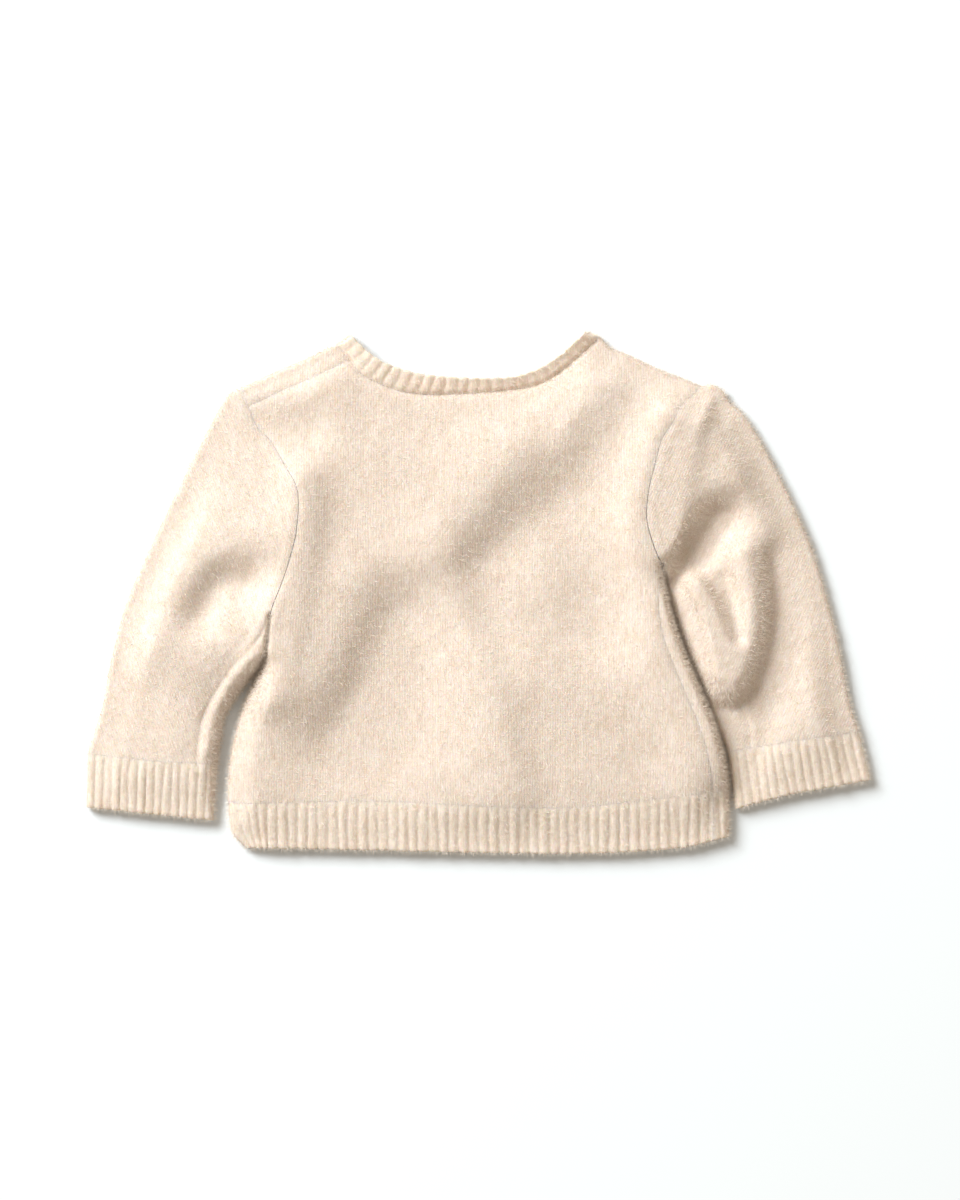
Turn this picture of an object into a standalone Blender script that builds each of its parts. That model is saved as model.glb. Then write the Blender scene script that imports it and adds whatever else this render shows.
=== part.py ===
"""Baby sweater with long sleeves, knitted in fine felted wool and laid flat with its back up.

World axes: X across the body to its own right sleeve, Y from the hem to the neck, Z up.
The script's own unit is the millimetre; MM turns it into metres when a mesh is made.
Every piece is a wall of cloth: an outer skin, an inner skin a wall further in, and rims between.
"""

import math

import bmesh
import bpy
import numpy as np
from mathutils import Vector
from mathutils.geometry import delaunay_2d_cdt

MM = 0.001

for leftover in list(bpy.data.objects):
    bpy.data.objects.remove(leftover, do_unlink=True)

# The cloth
WALL = 2.0  # felted single knit
HALF = 2.4  # half of two layers lying on each other, and so the radius of a folded edge
SEAM_GAP = 0.3  # between two pieces that are sewn together
FOLD_ANGLES = (45, 90)  # where the rows of points round a folded edge lie, in degrees
EDGE_STEP = 8.0  # spacing of points along seams and edges
EDGE_MARKS = (1.0, 2.8)  # and the first points along a seam from a folded edge
SIDE_MARKS = (3.0,)  # the same along the sides, from the armpit
GRID_STEP = 9.0  # spacing of points inside a panel
PLAIN_GRID_STEP = 30.0  # the same inside the flat underside
GRID_CLEARANCE = 4.5  # no inner point nearer than this to a seam
ROW_CLEARANCE = 0.3  # and no point of a folded edge's rows nearer than this
MOST_LIFT = 4.0  # the highest that a crease raises the upper layer
INNER_LIFT = 0.8  # how much of that its inner skin follows, as the knit is thicker on a ridge
LIFT_RUN_IN = 11.0  # a crease fades out over this distance from a folded edge
CREASE_STEP = 4.0  # how finely a crease's line is read
OUTLINE_STEP = 1.0  # how finely an outline is read
NECK_STEP = 5.0  # spacing of points along the necklines

# The seams that don't lie on an edge
SHOULDER_ROLL = 11.0  # the front rolls this far over the left shoulder
SIDE_ROLL_RIGHT = 9.0  # the front wraps this far round the right side, on top
SIDE_ROLL_LEFT = 8.0  # the back wraps this far round the left side, underneath
SIDE_ROLL_RUN = 42.0  # the side seams leave the edge over this length below the armpit

# Ribs
RIB_RAISE = 0.7
HEM_RIBS = 50
CUFF_RIBS = 14
NECK_RIBS = 24
POINTS_PER_RIB = 4

# Outlines in plan, as points x, y that a smooth curve runs through, from the neck outwards or
# from the armpit down. "left" is the side of negative X.
OUTLINES = {
    "left_top": [(-68, 137), (-75.5, 132), (-94, 123), (-107, 117.5), (-121, 111), (-126, 109)],
    "left_outer": [(-126, 109), (-132.5, 105), (-141, 91.5), (-149, 75.5), (-163, 47.5),
                   (-179.5, 12), (-188, -9), (-195, -36), (-199.5, -60), (-205, -78),
                   (-207, -85.5), (-208, -114)],
    "left_inner": [(-110.1, -12.5), (-115, -34.5), (-126.5, -51), (-134.5, -66),
                   (-137, -79), (-138.5, -91), (-140.7, -121)],
    "left_side": [(-109.4, -12.5), (-112, -33), (-118, -45.5), (-125.5, -63), (-131, -84),
                  (-132.8, -101), (-132.8, -111), (-130.8, -127), (-123, -135.5)],
    "right_top": [(57, 138.5), (64.5, 135.5), (70, 130), (80, 126), (93.5, 119.5),
                  (111.5, 112.5), (118, 109.5)],
    "right_outer": [(118, 109.5), (124.5, 110), (129.5, 107), (133, 101), (141, 93.5),
                    (153.5, 73), (167.5, 45), (177, 22.5), (185, -4), (191.5, -30.5),
                    (196.5, -57), (201.7, -74), (208, -99.5)],
    "right_inner": [(97.3, 14), (105.8, -10), (113.8, -30.5), (122.3, -51.5), (130, -72),
                    (134.5, -84), (136, -99), (138, -114.5)],
    "right_side": [(96.6, 14), (103.3, -12.5), (110, -32), (118, -51), (126.5, -72),
                   (131.5, -92), (132.8, -105), (132.8, -129.5)],
    "left_armhole": [(-126, 109), (-122.7, 101), (-117.5, 88), (-110.5, 81), (-102.5, 67.5),
                     (-95.3, 53.5), (-95.7, 33), (-99.5, 17), (-103.5, 5), (-108, -6.5),
                     (-109.75, -12.5)],
    "right_armhole": [(118, 109.5), (112, 103), (107, 99), (102, 89), (96.5, 80.5), (92.5, 66),
                      (89.5, 53.5), (88.5, 38.5), (92.5, 23.5), (96.95, 14)],
    "back_neck_seam": [(-75.5, 132), (-68, 122.5), (-62, 115.5), (-50, 109.5), (-38, 105.7),
                       (-20, 104.7), (8, 106.3), (30, 109.4), (44, 117), (55, 126.5),
                       (64.5, 135.5)],
    "back_neck_edge": [(-68, 137), (-58, 127), (-47, 120.5), (-29, 115.5), (-7, 113.7),
                       (16, 114), (30.5, 118), (43, 125.5), (51, 133), (57, 138.5)],
    "front_neck_seam": [(-75.5, 132), (-70, 117), (-56, 99), (-32, 87.5), (-6, 84.5),
                        (20, 87.5), (44, 99), (58, 117), (64.5, 135.5)],
    "front_neck_edge": [(-68, 137), (-62, 121), (-49.5, 105.5), (-29, 96), (-6, 93.3),
                        (17, 96), (38, 105.5), (50.5, 121), (57, 138.5)],
    "hem_line": [(-132.8, -111), (-119, -111.7), (-58, -110.5), (1, -113), (43, -114),
                 (75, -111.5), (119, -106), (132.8, -105)],
    "hem_edge": [(-123, -135.5), (-100, -135.8), (1, -138), (43, -138.5), (69, -138),
                 (107, -135.5), (132.8, -129.5)],
    "left_cuff_line": [(-207, -85.5), (-174, -89), (-138.5, -91)],
    "left_cuff_edge": [(-208, -114), (-174, -117.5), (-140.7, -121)],
    "right_cuff_line": [(201.7, -74), (168, -78.5), (134.5, -84)],
    "right_cuff_edge": [(208, -99.5), (180, -104.5), (162, -108), (138, -114.5)],
}

# Creases of the upper layer: a smooth ridge (height over 0) or trough (under 0) along a line
# from x1, y1 by way of x2, y2 to x3, y3, with its half width and its height.
CREASES = [
    # x1,   y1,   x2,   y2,   x3,   y3, width, height
    (-103, 72, -101, 12, -124, -108, 13, 1.9),  # soft edge beside the left armhole and side
    (-84, 41, -38, 0, -8, -110, 15, 1.5),  # across the back to the middle of the hem
    (59, 122, 34, 78, -16, 24, 13, 2.2),  # from the right neck point towards the middle
    (-12, 16, 4, -48, 16, -110, 12, 1.2),  # down the middle
    (108, 98, 90, 40, 106, -46, 15, 2.4),  # beside the right armhole
    (-66, 30, -60, -30, -62, -86, 24, -2.0),  # hollow of the left half
    (66, 112, 26, 60, 2, 20, 12, -1.4),  # hollow beside the neck ridge
    (38, 50, 36, -20, 42, -90, 20, -1.5),  # hollow of the right half
    (-60, 96, -20, 88, 20, 92, 14, -0.6),  # below the neckband
    (-174, -4, -156, 26, -112, 42, 13, 2.0),  # left sleeve, elbow to armhole
    (-160, 8, -146, -2, -120, -12, 12, -1.9),  # left sleeve, dent below it
    (-178, -40, -150, -20, -118, -40, 13, 1.5),  # left sleeve, rise above the cuff
    (-196, -50, -184, -70, -176, -84, 14, 0.8),  # left sleeve, outer edge
    (-128, 98, -112, 92, -100, 84, 8, -1.5),  # left sleeve cap
    (108, 106, 122, 88, 134, 76, 8, -1.6),  # right sleeve cap
    (104, 66, 128, 66, 152, 56, 10, 1.7),  # right sleeve, below the cap
    (106, 48, 114, 22, 110, 0, 9, -1.9),  # right sleeve, pit beside the armhole
    (114, 16, 126, -12, 134, -44, 7, 1.9),  # right sleeve, first lobe
    (132, 36, 146, 8, 152, -18, 9, 1.7),  # right sleeve, second lobe
    (160, 26, 160, -14, 150, -64, 8, -1.8),  # right sleeve, valley to the cuff
    (174, 6, 182, -34, 190, -68, 12, 1.3),  # right sleeve, outer ridge
]
BASE_LIFT = 1.7  # how far the upper layer stands off before ridges and troughs

KNIT_COLOUR = (0.86, 0.75, 0.60, 1)
RIB_COLOUR = (0.88, 0.77, 0.62, 1)


# ---------------------------------------------------------------- curves in plan


def smooth_curve(points, step=OUTLINE_STEP):
    """A Catmull-Rom curve through the points, read every step or so."""
    points = np.array(points, float)
    ends = np.vstack([2 * points[0] - points[1], points, 2 * points[-1] - points[-2]])
    out = []
    for i in range(len(points) - 1):
        p0, p1, p2, p3 = ends[i : i + 4]
        count = max(2, round(np.linalg.norm(p2 - p1) / step))
        for t in np.arange(count) / count:
            out.append(
                0.5 * (2 * p1 + (p2 - p0) * t + (2 * p0 - 5 * p1 + 4 * p2 - p3) * t**2
                       + (3 * p1 - p0 - 3 * p2 + p3) * t**3)
            )
    out.append(points[-1])
    return np.array(out)


def lengths_along(curve):
    return np.r_[0, np.cumsum(np.linalg.norm(np.diff(curve, axis=0), axis=1))]


def stretch(curve, start=0.0, end=None):
    """The part of a curve between two lengths along it; a negative end counts from its far end."""
    along = lengths_along(curve)
    end = along[-1] if end is None else end if end > 0 else along[-1] + end
    inner = curve[(along > start + 0.01) & (along < end - 0.01)]
    return np.vstack([at_length(curve, start), inner, at_length(curve, end)])


def at_length(curve, length):
    along = lengths_along(curve)
    return np.array([np.interp(length, along, curve[:, k]) for k in (0, 1)])


def spaced(curve, step=EDGE_STEP):
    """The curve read at an even spacing, both ends kept."""
    along = lengths_along(curve)
    marks = np.linspace(0, along[-1], max(1, math.ceil(along[-1] / step)) + 1)
    return np.stack([np.interp(marks, along, curve[:, k]) for k in (0, 1)], axis=1)


def spaced_to_edges(curve, marks=EDGE_MARKS):
    """The curve read at an even spacing, with more points where its ends meet folded edges."""
    length = lengths_along(curve)[-1]
    even = np.linspace(0, length, max(1, math.ceil(length / EDGE_STEP)) + 1)
    lengths = np.unique(np.r_[even, marks, length - np.array(marks)])
    return np.array([at_length(curve, place) for place in lengths])


def normals_of(curve):
    """The unit normals on the left of the way the curve runs."""
    run = np.gradient(curve, axis=0)
    run /= np.linalg.norm(run, axis=1, keepdims=True)
    return np.stack([-run[:, 1], run[:, 0]], axis=1)


def turned(angle):
    """How far in plan a point lies from a folded edge once the cloth has turned by an angle."""
    return HALF * (1 - math.cos(math.radians(angle)))


def shifted(curve, distance):
    """The curve moved to its left by a distance, or by one distance for each of its points."""
    return curve + normals_of(curve) * np.reshape(distance, (-1, 1))


def ended_at(curve, point):
    return np.vstack([curve[:-1], point])


def meeting(curve, point):
    """The length along a curve at which it meets a point, or comes nearest to it."""
    return lengths_along(curve)[np.argmin(np.linalg.norm(curve - np.array(point), axis=1))]


curves = {name: smooth_curve(points) for name, points in OUTLINES.items()}

# Every edge at which the upper layer turns over into the lower one.
FOLDED_EDGES = [
    curves[name]
    for name in ("left_top", "left_outer", "left_inner", "left_side",
                 "right_top", "right_outer", "right_inner", "right_side")
]


# ---------------------------------------------------------------- the form of the cloth


def segment_distance(points, starts, runs):
    """How far each point lies from the nearest of some straight segments."""
    to_point = points[:, None] - starts[None]
    part = np.clip((to_point * runs).sum(2) / (runs * runs).sum(1), 0, 1)
    return np.linalg.norm(to_point - part[:, :, None] * runs, axis=2).min(1)


def edge_distance(points):
    """How far each point lies from the nearest folded edge, and the unit direction away from it."""
    starts = np.vstack([edge[:-1] for edge in FOLDED_EDGES])
    runs = np.vstack([edge[1:] for edge in FOLDED_EDGES]) - starts
    to_point = points[:, None] - starts[None]
    part = np.clip((to_point * runs).sum(2) / (runs * runs).sum(1), 0, 1)
    away = to_point - part[:, :, None] * runs
    gap = np.linalg.norm(away, axis=2)
    best = gap.argmin(1)
    rows = np.arange(len(points))
    distance = gap[rows, best]
    return distance, away[rows, best] / np.maximum(distance, 1e-9)[:, None]


def line_distance(points, line):
    """How far each point lies from the smooth line through three points."""
    curve = smooth_curve(line, CREASE_STEP)
    return segment_distance(points, curve[:-1], np.diff(curve, axis=0))


def between_limits(lift):
    """The lift eased into 0 to MOST_LIFT, unchanged at the middle of that range."""
    return MOST_LIFT / (1 + np.exp(-4 * (lift / MOST_LIFT - 0.5)))


def lift_of(points, distance):
    """How far creases raise the upper layer at each point, given its distance from a folded edge."""
    lift = np.full(len(points), BASE_LIFT)
    for x1, y1, x2, y2, x3, y3, width, height in CREASES:
        away = line_distance(points, [(x1, y1), (x2, y2), (x3, y3)])
        lift += height * np.exp(-((away / width) ** 2))
    fade = np.clip(distance / LIFT_RUN_IN, 0, 1)
    return between_limits(lift) * fade * fade * (3 - 2 * fade)


def skins(points, side, inward, raised=0.0):
    """The outer and inner point over each plan point.

    side is 1 on the upper layer, -1 on the lower one and 0 on the folded edge itself. inward
    gives the direction across the edge where a point lies on it, and is zero elsewhere.
    raised adds to the outer point alone.
    """
    distance, away = edge_distance(points)
    on_edge = np.linalg.norm(inward, axis=1) > 0
    away[on_edge] = inward[on_edge]
    distance[on_edge] = 0
    cosine = np.clip(1 - distance / HALF, 0, 1)
    sine = np.sqrt(1 - cosine**2)
    lift = lift_of(points, distance) * (side > 0)
    outer_rise = side * np.maximum(HALF * sine, SEAM_GAP / 2)
    inner_rise = side * np.maximum((HALF - WALL) * sine, SEAM_GAP / 2)
    outer = np.column_stack([points, HALF + outer_rise + lift + raised])
    inner = np.column_stack([points + away * (WALL * cosine)[:, None],
                             HALF + inner_rise + lift * INNER_LIFT])
    return outer, inner


# ---------------------------------------------------------------- building a piece


def matte_wool(name, colour):
    material = bpy.data.materials.new(name)
    material.use_nodes = True
    shader = material.node_tree.nodes["Principled BSDF"]
    shader.inputs["Base Color"].default_value = colour
    shader.inputs["Roughness"].default_value = 0.95
    shader.inputs["Metallic"].default_value = 0.0
    return material


knit = matte_wool("felted_knit", KNIT_COLOUR)
rib = matte_wool("rib_knit", RIB_COLOUR)


def hollow_halves(corners):
    """A rim's four corners as two triangles, split the way that takes more off the cloth."""
    a, b, c, d = corners
    splits = ([(a, b, c), (a, c, d)], [(a, b, d), (b, c, d)])
    return min(
        splits,
        key=lambda split: sum(p.co.dot(q.co.cross(r.co)) for p, q, r in split),
    )


def piece(name, outer, inner, faces, material):
    """A closed wall from its outer skin's faces and the same faces on the inner skin."""
    count = len(outer)
    edges = {}
    for face in faces:
        for a, b in zip(face, face[1:] + face[:1]):
            edges[a, b] = True
    rims = [(b, a) for a, b in edges if (b, a) not in edges]
    shape = bmesh.new()
    verts = [shape.verts.new(Vector(p) * MM) for p in np.vstack([outer, inner]).tolist()]
    for face in faces:
        shape.faces.new([verts[i] for i in face])
        shape.faces.new([verts[i + count] for i in reversed(face)])
    for a, b in rims:
        corners = [verts[a], verts[b], verts[b + count], verts[a + count]]
        for face in hollow_halves(corners):
            shape.faces.new(face)
    mesh = bpy.data.meshes.new(name)
    shape.to_mesh(mesh)
    shape.free()
    mesh.shade_smooth()
    mesh.set_sharp_from_angle(angle=math.radians(50))
    mesh.materials.append(material)
    made = bpy.data.objects.new(name, mesh)
    bpy.context.scene.collection.objects.link(made)
    return made


def inside(points, loop):
    """Which points lie inside a closed loop."""
    x, y = points[:, 0, None], points[:, 1, None]
    x1, y1 = loop[:, 0], loop[:, 1]
    x2, y2 = np.roll(x1, -1), np.roll(y1, -1)
    crosses = (y1 > y) != (y2 > y)
    with np.errstate(divide="ignore", invalid="ignore"):
        where = x1 + (y - y1) * (x2 - x1) / (y2 - y1)
    return (crosses & (x < where)).sum(1) % 2 == 1


def loop_distance(points, loop):
    return segment_distance(points, loop, np.roll(loop, -1, axis=0) - loop)


def seam(points, inset=SEAM_GAP / 2):
    return "seam", points, inset


def fold(points):
    """A folded edge, round which the piece goes on into its other layer."""
    return "fold", points, 0.0


def edge_seam(points):
    """A folded edge with a seam on it."""
    return "edge_seam", points, 0.0


class Panel:
    """A piece of flat knitting, as areas of its upper and lower layers joined at folded edges."""

    def __init__(self, name):
        self.name = name
        self.points, self.sides, self.inward, self.faces = [], [], [], []
        self.numbers = {}

    def number(self, place, side, inward):
        """The number of a point; on a folded edge both layers share it."""
        key = (round(place[0], 3), round(place[1], 3), side)
        if key not in self.numbers:
            self.numbers[key] = len(self.points)
            self.points.append(place)
            self.sides.append(side)
            self.inward.append(inward)
        return self.numbers[key]

    def area(self, side, *stretches, grid=GRID_STEP):
        """Adds the area of one layer inside stretches that run anticlockwise, end to end."""
        loop, sides, inward, rows = [], [], [], []
        for i, (kind, points, inset) in enumerate(stretches):
            kind_before, points_before, inset_before = stretches[i - 1]
            normals = normals_of(points)
            placed = points + normals * inset
            if kind == "seam":
                if kind_before == "seam":
                    placed[0] += normals_of(points_before)[-1] * inset_before
                else:
                    placed[0] = points_before[-1]
            else:
                for angle in FOLD_ANGLES:
                    rows.append(shifted(points, turned(angle))[1:-1])
            for k, place in enumerate(placed[:-1]):
                on_kind, normal = kind, normals[k]
                if k == 0 and kind == "seam":
                    on_kind, normal = kind_before, normals_of(points_before)[-1]
                loop.append(place)
                sides.append(0 if on_kind == "fold" else side)
                inward.append((0.0, 0.0) if on_kind == "seam" else tuple(normal))
        loop = np.array(loop)
        inner = self.grid_inside(loop, grid)
        rows = [row[inside(row, loop) & (loop_distance(row, loop) > ROW_CLEARANCE)] for row in rows]
        coords = [Vector(place) for place in np.vstack([loop, inner] + rows).tolist()]
        count = len(loop)
        bounds = [(i, (i + 1) % count) for i in range(count)]
        flat, _, triangles, sources, _, _ = delaunay_2d_cdt(coords, bounds, [], 1, 1e-5)
        numbers = []
        for place, source in zip(flat, sources):
            on_loop = source and source[0] < count
            numbers.append(
                self.number(tuple(place), sides[source[0]], inward[source[0]]) if on_loop
                else self.number(tuple(place), side, (0.0, 0.0))
            )
        for triangle in triangles:
            a, b, c = (flat[i] for i in triangle)
            upward = (b - a).cross(c - a) > 0
            face = [numbers[i] for i in triangle]
            self.faces.append(face if upward == (side > 0) else face[::-1])

    @staticmethod
    def grid_inside(loop, grid):
        low, high = loop.min(0), loop.max(0)
        places = [
            (x + row % 2 * grid / 2, y)
            for row, y in enumerate(np.arange(low[1] + grid / 2, high[1], grid * 0.87))
            for x in np.arange(low[0] + grid / 2, high[0], grid)
        ]
        places = np.array(places).reshape(-1, 2)
        places = places[inside(places, loop)]
        return places[loop_distance(places, loop) > GRID_CLEARANCE] if len(places) else places

    def make(self, material):
        points, sides, inward = map(np.array, (self.points, self.sides, self.inward))
        outer, inner = skins(points, sides, inward)
        return piece(self.name, outer, inner, self.faces, material)


# ---------------------------------------------------------------- seams and edges of this garment

HALF_GAP = SEAM_GAP / 2


def backwards(curve):
    return curve[::-1]


def roll(curve, width):
    """A seam that leaves a folded edge at its start and then runs beside it at a width."""
    opening = np.clip(lengths_along(curve) / SIDE_ROLL_RUN, 0, 1)
    return shifted(curve, width * (1 - (1 - opening) ** 2))


left_neck_point = OUTLINES["back_neck_seam"][0]
right_neck_point = OUTLINES["back_neck_seam"][-1]

# Shoulders: the left one is rolled, the right one has its seam on the edge.
left_top, right_top = curves["left_top"], backwards(curves["right_top"])
left_shoulder = stretch(left_top, meeting(left_top, left_neck_point))
right_shoulder = stretch(right_top, 0, meeting(right_top, right_neck_point))
left_shoulder_seam = shifted(left_shoulder, SHOULDER_ROLL)
roll_on_neck = meeting(curves["back_neck_seam"], left_shoulder_seam[0])
roll_on_armhole = meeting(curves["left_armhole"], left_shoulder_seam[-1])
left_shoulder_seam[0] = at_length(curves["back_neck_seam"], roll_on_neck)
left_shoulder_seam[-1] = at_length(curves["left_armhole"], roll_on_armhole)
left_shoulder_seam = spaced(left_shoulder_seam)
left_shoulder = spaced(stretch(left_shoulder, HALF_GAP, -HALF_GAP))
right_shoulder = spaced(stretch(right_shoulder, HALF_GAP, -HALF_GAP))

# Necklines, from the left neck point to the right one
rolled_neck = spaced(stretch(curves["back_neck_seam"], 0, roll_on_neck))
back_neck = spaced(stretch(curves["back_neck_seam"], roll_on_neck), NECK_STEP)
front_neck = spaced(curves["front_neck_seam"], NECK_STEP)

# Armholes, from the shoulder to the armpit
rolled_armhole = spaced_to_edges(stretch(curves["left_armhole"], 0, roll_on_armhole))
left_armhole = spaced_to_edges(stretch(curves["left_armhole"], roll_on_armhole))
whole_left_armhole = np.vstack([rolled_armhole[:-1], left_armhole])
right_armhole = spaced_to_edges(curves["right_armhole"])

# Sides, from the armpit to the hem line, and the seams that lie beside them
left_end = meeting(curves["left_side"], OUTLINES["hem_line"][0])
right_end = meeting(curves["right_side"], OUTLINES["hem_line"][-1])
left_side = spaced_to_edges(stretch(curves["left_side"], 0, left_end), marks=SIDE_MARKS)
right_side = spaced_to_edges(stretch(curves["right_side"], 0, right_end), marks=SIDE_MARKS)
left_side_seam = roll(left_side, SIDE_ROLL_LEFT)
right_side_seam = roll(right_side, -SIDE_ROLL_RIGHT)
hem_line = curves["hem_line"]
left_seam_on_hem = meeting(hem_line, left_side_seam[-1])
right_seam_on_hem = meeting(hem_line, right_side_seam[-1])
left_side_seam[-1] = at_length(hem_line, left_seam_on_hem)
right_side_seam[-1] = at_length(hem_line, right_seam_on_hem)
left_side[-1] = at_length(curves["left_side"], left_end - HALF_GAP)
right_side[-1] = at_length(curves["right_side"], right_end - HALF_GAP)
body_left_armhole = ended_at(left_armhole, left_side[0])
body_whole_left_armhole = ended_at(whole_left_armhole, left_side[0])
body_right_armhole = ended_at(right_armhole, right_side[0])
hem_left_of_seam = spaced(stretch(hem_line, 0, left_seam_on_hem))
hem_right_of_seam = spaced(stretch(hem_line, right_seam_on_hem))

# ---------------------------------------------------------------- back panel

back = Panel("back_panel")
back.area(
    1,
    seam(spaced(stretch(hem_line, 0, right_seam_on_hem))),
    seam(backwards(right_side_seam)),
    seam(backwards(body_right_armhole)),
    edge_seam(right_shoulder),
    seam(backwards(back_neck)),
    seam(left_shoulder_seam),
    seam(body_left_armhole),
    fold(left_side),
)
back.area(-1, fold(left_side), seam(hem_left_of_seam), seam(backwards(left_side_seam)))
back.make(knit)

# ---------------------------------------------------------------- front panel

front = Panel("front_panel")
front.area(
    -1,
    seam(spaced(stretch(hem_line, left_seam_on_hem))),
    fold(backwards(right_side)),
    seam(backwards(body_right_armhole)),
    edge_seam(right_shoulder),
    seam(backwards(front_neck)),
    fold(left_shoulder),
    seam(body_whole_left_armhole),
    seam(left_side_seam),
    grid=PLAIN_GRID_STEP,
)
front.area(1, fold(backwards(right_side)), seam(right_side_seam), seam(hem_right_of_seam))
front.area(
    1,
    fold(left_shoulder),
    seam(rolled_armhole),
    seam(backwards(left_shoulder_seam)),
    seam(backwards(rolled_neck)),
)
front.make(knit)

# ---------------------------------------------------------------- sleeves

left_cuff_at_outer = meeting(curves["left_outer"], OUTLINES["left_cuff_line"][0])
left_cuff_at_inner = meeting(curves["left_inner"], OUTLINES["left_cuff_line"][-1])
right_cuff_at_outer = meeting(curves["right_outer"], OUTLINES["right_cuff_line"][0])
right_cuff_at_inner = meeting(curves["right_inner"], OUTLINES["right_cuff_line"][-1])

left_outline = (
    fold(spaced(stretch(curves["left_outer"], HALF_GAP, left_cuff_at_outer - HALF_GAP))),
    seam(spaced(curves["left_cuff_line"])),
    fold(backwards(spaced(stretch(curves["left_inner"], 0, left_cuff_at_inner - HALF_GAP)))),
    seam(backwards(whole_left_armhole)),
)
right_outline = (
    seam(right_armhole),
    fold(spaced(stretch(curves["right_inner"], 0, right_cuff_at_inner - HALF_GAP))),
    seam(backwards(spaced(curves["right_cuff_line"]))),
    fold(backwards(spaced(stretch(curves["right_outer"], HALF_GAP,
                                  right_cuff_at_outer - HALF_GAP)))),
)
for name, outline in (("sleeve_left", left_outline), ("sleeve_right", right_outline)):
    sleeve = Panel(name)
    sleeve.area(1, *outline)
    sleeve.area(-1, *outline, grid=PLAIN_GRID_STEP)
    sleeve.make(knit)

# ---------------------------------------------------------------- ribbed bands

BAND_ROWS = [
    # part of the way from seam to free edge, share of the rib's height, drop of the outer skin
    (0.00, 0.5, 0.0),
    (0.14, 1.0, 0.0),
    (0.50, 1.0, 0.0),
    (0.94, 0.9, 0.0),
    (1.00, 0.4, 0.5),
]
PLAIN_STEP = 25.0  # spacing of columns where a band has no raised ribs


def at_share(curve, share):
    return at_length(curve, share * lengths_along(curve)[-1])


def rib_height(place, ribs):
    """The height of the ribs at a part of the way along a band: round tops, narrow grooves."""
    return RIB_RAISE * abs(math.sin(math.pi * place * ribs)) ** 0.6


def edge_columns(length, side):
    """Columns round the folded edge at the start of a band, as (part of the way along, side)."""
    return [(turned(angle) / length, side) for angle in FOLD_ANGLES]


def from_far_end(columns):
    return [(1 - place, side) for place, side in reversed(columns)]


def rib_columns(ribs, start, end):
    """Columns over the ribs between two parts of the way along, none too near either."""
    count = ribs * POINTS_PER_RIB
    clear = 0.4 / count
    return [(k / count, 1) for k in range(count + 1) if start + clear < k / count < end - clear]


def plain_columns(length, start, end):
    count = max(2, round((end - start) * length / PLAIN_STEP))
    return [(start + (end - start) * k / count, -1) for k in range(1, count)]


def band(name, columns, upper, lower, near, far, ribs, closed):
    """A ribbed band, as rows of columns from its seam to its free edge.

    columns are (part of the way along, side) in order round the band. upper and lower are its
    (seam line, free edge) in each layer, and near and far the folded edges at its two ends,
    each (curve from the seam to the free edge, 1 where the band lies on its left or -1).
    """
    (near_curve, near_turn), (far_curve, far_turn) = near, far
    near_normals, far_normals = normals_of(near_curve) * near_turn, normals_of(far_curve) * far_turn
    width = np.linalg.norm(at_share(upper[1], 0.5) - at_share(upper[0], 0.5))
    points, sides, inward, raised = [], [], [], []
    for part, height, drop in BAND_ROWS:
        part = max(part, HALF_GAP / width)
        near_point, far_point = at_share(near_curve, part), at_share(far_curve, part)
        near_inward = near_normals[round(part * (len(near_normals) - 1))]
        far_inward = far_normals[round(part * (len(far_normals) - 1))]
        for place, side in columns:
            seam_line, free_edge = lower if side < 0 else upper
            point = (1 - part) * at_share(seam_line, place) + part * at_share(free_edge, place)
            start = (1 - part) * seam_line[0] + part * free_edge[0]
            end = (1 - part) * seam_line[-1] + part * free_edge[-1]
            points.append(point + (1 - place) * (near_point - start) + place * (far_point - end))
            sides.append(side)
            across = near_inward if place < 0.5 else far_inward
            inward.append((0.0, 0.0) if side else tuple(across))
            raised.append(rib_height(place, ribs) * height - drop if side > 0 else 0.0)
    points, sides, inward, raised = map(np.array, (points, sides, inward, raised))
    outer, inner = skins(points, sides, inward, raised)
    count = len(columns)
    faces = []
    for row in range(len(BAND_ROWS) - 1):
        for k in range(count if closed else count - 1):
            a, b = row * count + k, row * count + (k + 1) % count
            faces.append([a, b, b + count, a + count])
    first_upper = next(k for k in range(count) if sides[k] > 0 and sides[k + 1] > 0)
    run, down = points[first_upper + 1] - points[first_upper], points[first_upper + count]
    down = down - points[first_upper]
    if run[0] * down[1] - run[1] * down[0] < 0:
        faces = [face[::-1] for face in faces]
    return piece(name, outer, inner, faces, rib)


def ring_columns(upper_length, lower_length, ribs):
    """All the way round a closed band: over the upper layer, then back along the lower one."""
    over, under = edge_columns(upper_length, 1), edge_columns(lower_length, -1)
    return (
        [(0.0, 0)] + over + rib_columns(ribs, over[-1][0], 1 - over[-1][0])
        + from_far_end(over) + [(1.0, 0)]
        + under_to_near(under, lower_length)
    )


def under_to_near(under, length):
    """The lower layer's columns from the far folded edge back to the near one."""
    plain = plain_columns(length, under[-1][0], 1 - under[-1][0])
    return from_far_end(under)[::-1] + plain[::-1] + under[::-1]


# Hem: one rib for the back and one for the front, each wrapped round one side as its panel is.
hem_length = lengths_along(hem_line)[-1]
left_hem_edge = stretch(curves["left_side"], left_end)
right_hem_edge = stretch(curves["right_side"], right_end)
hem_lines = (hem_line, curves["hem_edge"])
hem_near = (left_hem_edge, 1)
hem_far = (right_hem_edge, -1)
gap = HALF_GAP / hem_length
left_seam = left_seam_on_hem / hem_length
right_seam = right_seam_on_hem / hem_length
under, over = edge_columns(hem_length, -1), edge_columns(hem_length, 1)

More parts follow.
